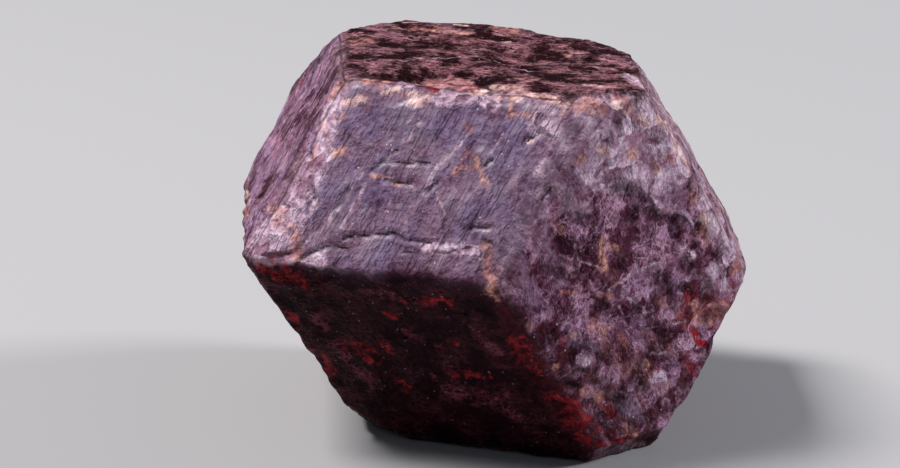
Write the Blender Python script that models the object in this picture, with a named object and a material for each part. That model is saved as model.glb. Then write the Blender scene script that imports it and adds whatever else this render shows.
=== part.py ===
# Garnet crystal: one loose, worn rhombic dodecahedron resting on a crystal face.
# Blender 4.5, metres, +Z up. The origin is the middle of the resting face, on the surface it rests on.
# +X runs along the crystal's longest axis, and the face called "front" looks along -Y.

from itertools import combinations, product
from math import radians, sqrt

import bmesh
import bpy
from mathutils import Matrix, Vector, noise

MM = 0.001

# A perfect crystal of this size has every face 14.6 mm from its centre and is 41 mm from tip to tip.
CELL = 10.3
PERFECT_FACE = CELL * sqrt(2)
TILT = radians(45)  # turning the crystal about X this far lays one of its faces flat

# Each face by its crystal indices: its distance from the centre as a share of the perfect crystal's,
# the neighbour whose edge its growth lines follow, and how deep those lines are in mm.
FACES = {
    "top": ((0, 1, 1), 0.895, "upper_left", 0.16),
    "base": ((0, -1, -1), 0.889, "lower_left", 0.08),
    "front": ((0, -1, 1), 0.973, "lower_left", 0.08),
    "back": ((0, 1, -1), 1.065, "upper_right_back", 0.12),
    "upper_left": ((-1, 0, 1), 1.052, "front", 0.13),
    "lower_left": ((-1, -1, 0), 0.955, "upper_left", 0.12),
    "upper_left_back": ((-1, 1, 0), 1.076, "upper_left", 0.18),
    "lower_left_back": ((-1, 0, -1), 0.970, "upper_left_back", 0.12),
    "upper_right": ((1, 0, 1), 1.031, "front", 0.14),
    "lower_right": ((1, -1, 0), 1.152, "front", 0.12),
    "upper_right_back": ((1, 1, 0), 0.873, "top", 0.14),
    "lower_right_back": ((1, 0, -1), 1.000, "upper_right_back", 0.12),
}
EDGE_COSINE = 0.5  # faces that share an edge have normals 60 degrees apart

# Narrow facets that cut the edges between two faces, by their width in mm.
PLAIN_BEVEL = 0.7
BEVELS = {
    ("upper_left", "upper_left_back"): 2.4,
    ("top", "upper_left"): 1.7,
    ("upper_left", "front"): 2.0,
    ("front", "upper_right"): 1.6,
    ("top", "upper_left_back"): 1.5,
    ("upper_left", "lower_left"): 0.4,
    ("front", "lower_left"): 1.1,
    ("base", "lower_left"): 0.3,
    ("base", "front"): 0.4,
}

# Corners worn flat, by the direction they point along in crystal indices and the depth worn away in mm.
PLAIN_WEAR = 0.6
WORN_CORNERS = {
    (0, 2, 0): 3.7,
    (0, 0, 2): 1.5,
    (0, -2, 0): 2.2,
    (-2, 0, 0): 0.4,
    (2, 0, 0): 1.2,
    (1, 1, 1): 1.6,
    (-1, 1, 1): 0.4,
    (-1, -1, -1): 1.1,
}

# Growth ledges that follow a face's outline: how far in from its edges each one runs, how much the
# run wanders, and how far the surface drops outside it, all in mm.
LEDGES = ((1.3, 2.2, 0.32), (4.4, 5.8, 0.24))
LEDGE_SLOPE = 1.0  # how wide each ledge's step is, in mm

# Hollows where flakes have broken away and lumps that stand proud: the middle in mm from the
# crystal's centre, the radius, and the depth in mm, which is negative for a lump.
HOLLOWS = (
    ((-7.9, -3.0, 13.0), 1.7, 0.50),
    ((-6.4, -5.2, 13.0), 1.6, 0.45),
    ((8.6, -14.0, -4.8), 1.9, 0.60),
    ((-10.0, -12.8, 2.4), 1.4, 0.30),
    ((2.6, -14.4, 3.4), 4.4, 0.35),
    ((-2.0, -14.2, -8.4), 2.4, 0.35),
    ((1.5, -2.5, 13.2), 3.6, 0.30),
    ((12.0, 9.0, 3.0), 3.2, 0.70),
    ((-6.0, 14.5, -7.0), 2.8, 0.70),
    ((-14.5, 3.0, -6.5), 2.6, 0.40),
    ((14.0, -4.0, 7.0), 2.4, 0.45),
    ((-15.2, 6.2, 2.6), 1.2, -0.35),
    ((-1.0, -13.8, 10.6), 2.2, -0.20),
    ((4.5, 13.0, -9.0), 2.0, -0.30),
)
RIM_WANDER = 0.35  # how uneven a hollow's rim is, as a share of its radius

SWELL = 0.16  # broad unevenness of every face, in mm
EDGE_ROUGHNESS = 0.14  # the unevenness of bevels and worn corners, in mm
SWELL_SCALE, LEDGE_SCALE, EDGE_SCALE, RIM_SCALE = 0.13, 0.17, 0.55, 0.5  # noise cycles in each mm
LINE_SCALE_ACROSS, LINE_SCALE_ALONG = 0.62, 0.07

GRID = 20  # cells along each crystal edge
SHARPNESS = 110  # how crisply the faces meet; lower rounds the edges
CENTRE = Vector((0.05, -0.67, FACES["base"][1] * PERFECT_FACE))  # the crystal's centre over the origin, in mm
RESTING_FACE_LIFT = 0.3  # relief on the resting face that is shallower than this is worn level, in mm
FLAT_WITHIN = 0.03  # points this near the ground lie on it, in mm
SHARP_EDGE = radians(20)

COLOUR = (0.085, 0.026, 0.036, 1.0)
ROUGHNESS = 0.42
REFRACTIVE_INDEX = 1.78


def clear_scene():
    for obj in list(bpy.data.objects):
        bpy.data.objects.remove(obj, do_unlink=True)


def turned(indices):
    """Crystal indices as a direction in the part's frame."""
    return Matrix.Rotation(TILT, 3, "X") @ Vector(indices)


def face_planes():
    """Each face's outward normal and its distance from the centre in mm, by name."""
    return {
        name: (turned(indices).normalized(), share * PERFECT_FACE)
        for name, (indices, share, _, _) in FACES.items()
    }


def share_an_edge(planes, a, b):
    return abs(planes[a][0].dot(planes[b][0]) - EDGE_COSINE) < 0.01


def bevel_planes(planes):
    """One facet across every edge. A facet of a given width lies width / (2 root 3) below the edge."""
    cuts = []
    for a, b in combinations(planes, 2):
        if share_an_edge(planes, a, b):
            width = BEVELS.get((a, b)) or BEVELS.get((b, a)) or PLAIN_BEVEL
            normal = (planes[a][0] + planes[b][0]) / sqrt(3)
            edge = (planes[a][1] + planes[b][1]) / sqrt(3)
            cuts.append((normal, edge - width / (2 * sqrt(3))))
    return cuts


def corner_planes(planes):
    """One facet across each of the 14 corners, below the point where its faces would meet."""
    corners = [tuple(2 * sign * (axis == k) for k in range(3)) for axis in range(3) for sign in (1, -1)]
    corners += list(product((1, -1), repeat=3))
    cuts = []
    for corner in corners:
        towards = turned(corner)
        normal = towards.normalized()
        meeting = [(n, d) for n, d in planes.values() if n.dot(towards) > 0.9 * sqrt(2)]
        reach = sum(d / n.dot(normal) for n, d in meeting) / len(meeting)
        cuts.append((normal, reach - WORN_CORNERS.get(corner, PLAIN_WEAR)))
    return cuts


def scaffold():
    """A perfect rhombic dodecahedron: a cube with a low pyramid raised on each side, cut into a grid."""
    mesh = bmesh.new()
    bmesh.ops.create_cube(mesh, size=2)
    cube_edges = mesh.edges[:]
    bmesh.ops.poke(mesh, faces=mesh.faces[:], offset=1.0)
    bmesh.ops.dissolve_edges(mesh, edges=cube_edges)
    bmesh.ops.subdivide_edges(mesh, edges=mesh.edges[:], cuts=GRID - 1, use_grid_fill=True)
    bmesh.ops.rotate(mesh, verts=mesh.verts, matrix=Matrix.Rotation(TILT, 3, "X"))
    return mesh


def smooth_step(value):
    t = min(max(value, 0.0), 1.0)
    return t * t * (3 - 2 * t)


def ledge_drop(point, face, planes, seed):
    """How far growth ledges lower the surface here: each one runs a wandering way in from the face's edges."""
    rim = min(
        (d - n.dot(point)) / sqrt(0.75)
        for name, (n, d) in planes.items()
        if share_an_edge(planes, face, name)
    )
    drop = 0.0
    for k, (inset, wander, depth) in enumerate(LEDGES):
        swing = wander * noise.noise(point * LEDGE_SCALE + Vector((seed, 7.3 * k, 0)))
        drop += depth * smooth_step((inset + swing - rim) / LEDGE_SLOPE + 0.5)
    return drop


def growth_lines(point, face, planes, seed):
    """Long shallow grooves along one edge direction, from a noise stretched that way."""
    normal, _ = planes[face]
    _, _, follows, depth = FACES[face]
    along = normal.cross(planes[follows][0]).normalized()
    across = normal.cross(along)
    place = Vector((point.dot(across) * LINE_SCALE_ACROSS, point.dot(along) * LINE_SCALE_ALONG, seed))
    return depth * noise.noise(place) + 0.5 * depth * noise.noise(place * 2.3)


def relief(point, face, planes, seed):
    """Height of the real surface over the ideal face, in mm. The resting face is worn level."""
    swell = SWELL * noise.noise(point * SWELL_SCALE + Vector((0, 0, seed)))
    height = swell + growth_lines(point, face, planes, seed) - ledge_drop(point, face, planes, seed)
    if face == "base":
        return min(height + RESTING_FACE_LIFT, 0.0)
    return height


def hollow_depth(point):
    """How far the broken hollows lower the surface here, and the lumps raise it."""
    depth = 0.0
    for k, (middle, radius, deepest) in enumerate(HOLLOWS):
        uneven = 1 + RIM_WANDER * noise.noise(point * RIM_SCALE + Vector((0, 0, 11.0 * k)))
        reach = (point - Vector(middle)).length / (radius * uneven)
        depth += deepest * max(0.0, 1 - reach * reach)
    return depth


def crystal_surface(direction, planes, cuts):
    """The point of the worn crystal in this direction from its centre, in mm."""

    def radius(heights):
        total = sum(
            max(0.0, n.dot(direction) / (d + h)) ** SHARPNESS
            for (n, d), h in zip(list(planes.values()) + cuts, heights)
        )
        return total ** (-1 / SHARPNESS)

    ideal = direction * radius([0.0] * (len(planes) + len(cuts)))
    rough = EDGE_ROUGHNESS * (noise.noise(ideal * EDGE_SCALE) + 0.6 * noise.noise(ideal * EDGE_SCALE * 2.4))
    heights = []
    for k, (name, (n, d)) in enumerate(planes.items()):
        near = n.dot(ideal) / d > 0.8
        heights.append(relief(ideal, name, planes, 3.7 * k) if near else 0.0)
    heights += [rough] * len(cuts)
    return direction * (radius(heights) - hollow_depth(ideal))


def garnet_material():
    material = bpy.data.materials.new("garnet")
    material.use_nodes = True
    shader = material.node_tree.nodes["Principled BSDF"]
    shader.inputs["Base Color"].default_value = COLOUR
    shader.inputs["Roughness"].default_value = ROUGHNESS
    shader.inputs["Metallic"].default_value = 0.0
    shader.inputs["IOR"].default_value = REFRACTIVE_INDEX
    material.diffuse_color = COLOUR
    return material


def garnet_crystal():
    planes = face_planes()
    cuts = bevel_planes(planes) + corner_planes(planes)
    form = scaffold()
    for vertex in form.verts:
        point = crystal_surface(vertex.co.normalized(), planes, cuts) + CENTRE
        if point.z < FLAT_WITHIN:
            point.z = 0.0
        vertex.co = point * MM
    bmesh.ops.triangulate(form, faces=form.faces[:], quad_method="SHORT_EDGE")
    bmesh.ops.recalc_face_normals(form, faces=form.faces[:])
    mesh = bpy.data.meshes.new("garnet_crystal")
    form.to_mesh(mesh)
    form.free()
    mesh.materials.append(garnet_material())
    mesh.shade_smooth()
    mesh.set_sharp_from_angle(angle=SHARP_EDGE)
    return bpy.data.objects.new("garnet_crystal", mesh)


def main():
    clear_scene()
    collection = bpy.data.collections.new("garnet crystal")
    bpy.context.scene.collection.children.link(collection)
    collection.objects.link(garnet_crystal())


main()
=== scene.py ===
import random
from itertools import combinations, product
from math import cos, radians, sin, sqrt
from types import SimpleNamespace

import bmesh
import bpy
import numpy as np
from mathutils import Matrix, Vector, noise


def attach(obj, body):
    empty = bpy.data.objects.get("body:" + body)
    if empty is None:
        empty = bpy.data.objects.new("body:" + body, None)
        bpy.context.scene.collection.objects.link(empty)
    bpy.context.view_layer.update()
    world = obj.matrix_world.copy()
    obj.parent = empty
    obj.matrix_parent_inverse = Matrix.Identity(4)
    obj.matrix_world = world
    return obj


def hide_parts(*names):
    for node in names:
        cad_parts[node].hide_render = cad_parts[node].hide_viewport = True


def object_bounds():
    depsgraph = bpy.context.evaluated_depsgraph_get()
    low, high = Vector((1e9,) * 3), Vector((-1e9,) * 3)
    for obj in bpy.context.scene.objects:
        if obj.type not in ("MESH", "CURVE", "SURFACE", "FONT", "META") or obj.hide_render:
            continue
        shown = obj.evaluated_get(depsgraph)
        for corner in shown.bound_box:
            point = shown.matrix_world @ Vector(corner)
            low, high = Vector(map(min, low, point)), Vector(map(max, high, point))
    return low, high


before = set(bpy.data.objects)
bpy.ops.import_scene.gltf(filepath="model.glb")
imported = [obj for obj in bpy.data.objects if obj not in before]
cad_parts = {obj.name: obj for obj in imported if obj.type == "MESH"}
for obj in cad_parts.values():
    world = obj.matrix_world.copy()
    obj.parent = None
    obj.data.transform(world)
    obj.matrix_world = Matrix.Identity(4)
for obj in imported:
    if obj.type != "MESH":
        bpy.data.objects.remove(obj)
cadLow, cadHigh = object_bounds()
mm = 0.001


# A socket that Python sums can use. Every node of every tree comes from its node method.
class Wire:
    def __init__(self, tree, socket=None):
        self.tree, self.socket = tree, socket

    def node(self, kind, settings=None, sockets=None, out=0):
        made = self.tree.nodes.new(kind)
        for name, value in (settings or {}).items():
            setattr(made, name, value)
        for name, value in (sockets or {}).items():
            socket = self.find(made.inputs, name)
            if isinstance(value, Wire):
                self.tree.links.new(value.socket, socket)
            else:
                socket.default_value = value
        return Wire(self.tree, None if out is None else self.find(made.outputs, out))

    @staticmethod
    def find(sockets, name):
        if isinstance(name, int):
            return sockets[name]
        return next(s for s in sockets if name in (s.identifier, s.name))

    def twin(self, name):  # another output of the same node
        return Wire(self.tree, self.find(self.socket.node.outputs, name))

    def math(self, operation, *values):
        return self.node("ShaderNodeMath", {"operation": operation}, dict(enumerate(values)))

    def vector(self, operation, *values):
        out = "Value" if operation in ("DOT_PRODUCT", "DISTANCE") else "Vector"
        return self.node("ShaderNodeVectorMath", {"operation": operation}, dict(enumerate(values)), out)

    def __add__(self, other):
        return self.math("ADD", self, other)

    def __radd__(self, other):
        return self.math("ADD", other, self)

    def __sub__(self, other):
        return self.math("SUBTRACT", self, other)

    def __rsub__(self, other):
        return self.math("SUBTRACT", other, self)

    def __mul__(self, other):
        return self.math("MULTIPLY", self, other)

    def __rmul__(self, other):
        return self.math("MULTIPLY", other, self)

    def __truediv__(self, other):
        return self.math("DIVIDE", self, other)

    def __pow__(self, other):
        return self.math("POWER", self, other)

    def top(self, other):
        return self.math("MAXIMUM", self, other)

    def low(self, other):
        return self.math("MINIMUM", self, other)

    def step(self, start, end):  # 0 up to start, 1 from end on, smooth between
        settings = {"interpolation_type": "SMOOTHSTEP"}
        return self.node("ShaderNodeMapRange", settings, {"Value": self, "From Min": start, "From Max": end})

    def offMiddle(self):  # for values from 0 to 1: how far from 0.5, where the ends are 1
        return self.math("ABSOLUTE", self * 2.0 - 1.0)

    def scaled(self, length):
        sockets = {"Vector": self, "Scale": length}
        return self.node("ShaderNodeVectorMath", {"operation": "SCALE"}, sockets, "Vector")

    def times(self, factors):  # vectors or colours, part by part
        return self.vector("MULTIPLY", self, factors)

    def blend(self, other, share):  # vectors: self at share 0, other at share 1
        sockets = {"Factor_Float": share, "A_Vector": self, "B_Vector": other}
        return self.node("ShaderNodeMix", {"data_type": "VECTOR"}, sockets, "Result_Vector")

    def tint(self, other, share):  # the same for colours
        sockets = {"Factor_Float": share, "A_Color": self, "B_Color": other}
        return self.node("ShaderNodeMix", {"data_type": "RGBA"}, sockets, "Result_Color")

    def noise(self, place, scale, detail=0.0, rough=0.5, bend=0.0, out=0):  # 0 to 1, mostly near 0.5
        sockets = {"Vector": place, "Scale": scale, "Detail": detail, "Roughness": rough, "Distortion": bend}
        return self.node("ShaderNodeTexNoise", {}, sockets, out)

    def swing(self, place, scale, detail=0.0, rough=0.5):  # the same, from -1 to 1
        return self.noise(place, scale, detail, rough) * 2.0 - 1.0

    def cells(self, place, scale, feature="F1"):  # the distance to a cell's point or edge
        sockets = {"Vector": place, "Scale": scale}
        return self.node("ShaderNodeTexVoronoi", {"feature": feature}, sockets, "Distance")


# The crystal's form. Lengths are in mm and directions are crystal indices.
crystal = {
    "cell": 10.3,  # a perfect crystal's faces lie cell x root 2 from its centre
    "centre": (0.05, -0.67),  # where the crystal's centre stands over the floor
    "tilt": 45.0,  # degrees about X, which lays the base flat
    "grid": 88,  # cells along each edge
    "sharpness": 170.0,  # of the edges between faces
    "edgeWidth": 0.14,  # how softly bevels run into faces
    "shrunk": 0.28,  # all over, to make up for the finer relief
    "restingLift": 0.3,  # the base is only worn where it is hollower than this
    "flatWithin": 0.03,  # what lies this near the floor is laid on it
}

perfectFace = crystal["cell"] * sqrt(2)

# Each face: indices, its distance from the centre as a share of the perfect crystal's, the neighbour whose
# edge its growth lines follow, and how deep its lines and ledges are. Then its looks: the stone's dark
# colour, the colour of the worn film over it, how much film there is and how patchy it is, how strongly
# streaks and veins show, how much it shines, and how far the film turns blue-grey. The near-black stone
# and scant film of the top and of the faces turned down are partly the stone's own colour and partly
# painted shade. The grey-violet film, most of all on the upper left face, and its turn to blue-grey, are
# partly worn film and partly a painted sheen.
faces = {
    "top": {
        "indices": (0, 1, 1), "share": 0.895, "follows": "upperLeft", "lines": 0.16, "ledges": 0.7,
        "deep": (0.012, 0.001, 0.002), "film": (0.34, 0.135, 0.165), "cover": -0.12, "blotches": 1.0,
        "streaks": 1.1, "veins": 0.3, "sheen": 0.15, "cool": 0.5,
    },
    "base": {
        "indices": (0, -1, -1), "share": 0.889, "follows": "lowerLeft", "lines": 0.08, "ledges": 0.3,
        "deep": (0.012, 0.004, 0.006), "film": (0.16, 0.08, 0.09), "cover": 0.1, "blotches": 0.8,
        "streaks": 0.4, "veins": 0.3, "sheen": 0.1, "cool": 0.3,
    },
    "front": {
        "indices": (0, -1, 1), "share": 0.973, "follows": "lowerLeft", "lines": 0.08, "ledges": 0.8,
        "deep": (0.08, 0.014, 0.036), "film": (0.32, 0.155, 0.24), "cover": 0.45, "blotches": 0.55,
        "streaks": 0.2, "veins": 0.8, "sheen": 0.3, "cool": 0.5,
    },
    "back": {
        "indices": (0, 1, -1), "share": 1.065, "follows": "upperRightBack", "lines": 0.12,
        "ledges": 1.0, "deep": (0.08, 0.022, 0.045), "film": (0.27, 0.15, 0.21), "cover": 0.45,
        "blotches": 0.6, "streaks": 0.5, "veins": 0.6, "sheen": 0.25, "cool": 0.6,
    },
    # The upper left face's grey-violet film is partly worn film and partly a painted sheen
    "upperLeft": {
        "indices": (-1, 0, 1), "share": 1.052, "follows": "front", "lines": 0.13, "ledges": 0.35,
        "deep": (0.065, 0.022, 0.045), "film": (0.22, 0.135, 0.205), "cover": 0.75, "blotches": 0.3,
        "streaks": 0.5, "veins": 0.15, "sheen": 0.65, "cool": 0.9,
    },
    "lowerLeft": {
        "indices": (-1, -1, 0), "share": 0.955, "follows": "upperLeft", "lines": 0.12, "ledges": 0.8,
        "deep": (0.01, 0.001, 0.003), "film": (0.15, 0.032, 0.05), "cover": -0.48, "blotches": 1.1,
        "streaks": 0.12, "veins": 0.08, "sheen": 0.02, "cool": 0.2,
    },
    "upperLeftBack": {
        "indices": (-1, 1, 0), "share": 1.076, "follows": "upperLeft", "lines": 0.18, "ledges": 0.7,
        "deep": (0.055, 0.018, 0.033), "film": (0.34, 0.175, 0.265), "cover": 0.52, "blotches": 0.6,
        "streaks": 0.9, "veins": 0.3, "sheen": 0.35, "cool": 0.7,
    },
    "lowerLeftBack": {
        "indices": (-1, 0, -1), "share": 0.97, "follows": "upperLeftBack", "lines": 0.12, "ledges": 1.0,
        "deep": (0.014, 0.002, 0.004), "film": (0.18, 0.055, 0.08), "cover": -0.05, "blotches": 0.9,
        "streaks": 0.5, "veins": 0.6, "sheen": 0.1, "cool": 0.5,
    },
    "upperRight": {
        "indices": (1, 0, 1), "share": 1.031, "follows": "front", "lines": 0.14, "ledges": 0.8,
        "deep": (0.1, 0.04, 0.05), "film": (0.47, 0.275, 0.34), "cover": 0.6, "blotches": 0.5,
        "streaks": 0.8, "veins": 0.4, "sheen": 0.35, "cool": 0.8,
    },
    "lowerRight": {
        "indices": (1, -1, 0), "share": 1.152, "follows": "front", "lines": 0.12, "ledges": 1.0,
        "deep": (0.08, 0.018, 0.038), "film": (0.28, 0.14, 0.2), "cover": 0.45, "blotches": 0.6,
        "streaks": 0.4, "veins": 0.7, "sheen": 0.2, "cool": 0.6,
    },
    "upperRightBack": {
        "indices": (1, 1, 0), "share": 0.873, "follows": "top", "lines": 0.14, "ledges": 1.0,
        "deep": (0.085, 0.026, 0.05), "film": (0.28, 0.16, 0.23), "cover": 0.5, "blotches": 0.5,
        "streaks": 0.6, "veins": 0.4, "sheen": 0.3, "cool": 0.7,
    },
    "lowerRightBack": {
        "indices": (1, 0, -1), "share": 1.0, "follows": "upperRightBack", "lines": 0.12, "ledges": 1.0,
        "deep": (0.024, 0.004, 0.008), "film": (0.2, 0.075, 0.1), "cover": 0.1, "blotches": 0.8,
        "streaks": 0.5, "veins": 0.6, "sheen": 0.15, "cool": 0.5,
    },
}

centreHeight = faces["base"]["share"] * perfectFace

bevels = {  # widths of the narrow facets that cut the edges
    "plain": 0.7,
    ("upperLeft", "upperLeftBack"): 2.4, ("top", "upperLeft"): 1.7, ("upperLeft", "front"): 2.0,
    ("front", "upperRight"): 1.6, ("top", "upperLeftBack"): 1.5, ("upperLeft", "lowerLeft"): 0.4,
    ("front", "lowerLeft"): 1.1, ("base", "lowerLeft"): 0.3, ("base", "front"): 0.4,
}

corners = {  # depths worn off the corners
    "plain": 0.6,
    (0, 2, 0): 3.7, (0, 0, 2): 1.5, (0, -2, 0): 2.2, (-2, 0, 0): 0.4, (2, 0, 0): 1.2,
    (1, 1, 1): 1.6, (-1, 1, 1): 0.4, (-1, -1, -1): 1.1,
}

# Broken hollows and lumps: middle from the crystal's centre, radius, depth (negative for a lump)
hollows = (
    ((-7.9, -3.0, 13.0), 1.7, 0.50), ((-6.4, -5.2, 13.0), 1.6, 0.45), ((8.6, -14.0, -4.8), 1.9, 0.60),
    ((-10.0, -12.8, 2.4), 1.4, 0.30), ((2.6, -14.4, 3.4), 4.4, 0.35), ((-2.0, -14.2, -8.4), 2.4, 0.35),
    ((1.5, -2.5, 13.2), 3.6, 0.30), ((12.0, 9.0, 3.0), 3.2, 0.70), ((-6.0, 14.5, -7.0), 2.8, 0.70),
    ((-14.5, 3.0, -6.5), 2.6, 0.40), ((14.0, -4.0, 7.0), 2.4, 0.45), ((-15.2, 6.2, 2.6), 1.2, -0.35),
    ((-1.0, -13.8, 10.6), 2.2, -0.20), ((4.5, 13.0, -9.0), 2.0, -0.30),
    ((4.0, -13.6, -11.2), 2.2, 0.35), ((7.6, -13.6, -6.9), 1.5, 0.35), ((-9.2, 9.4, 9.6), 2.4, 0.35),
    ((11.3, -13.2, -2.0), 1.6, 0.22), ((-18.6, 2.6, 2.0), 1.6, 0.22),
)

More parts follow.
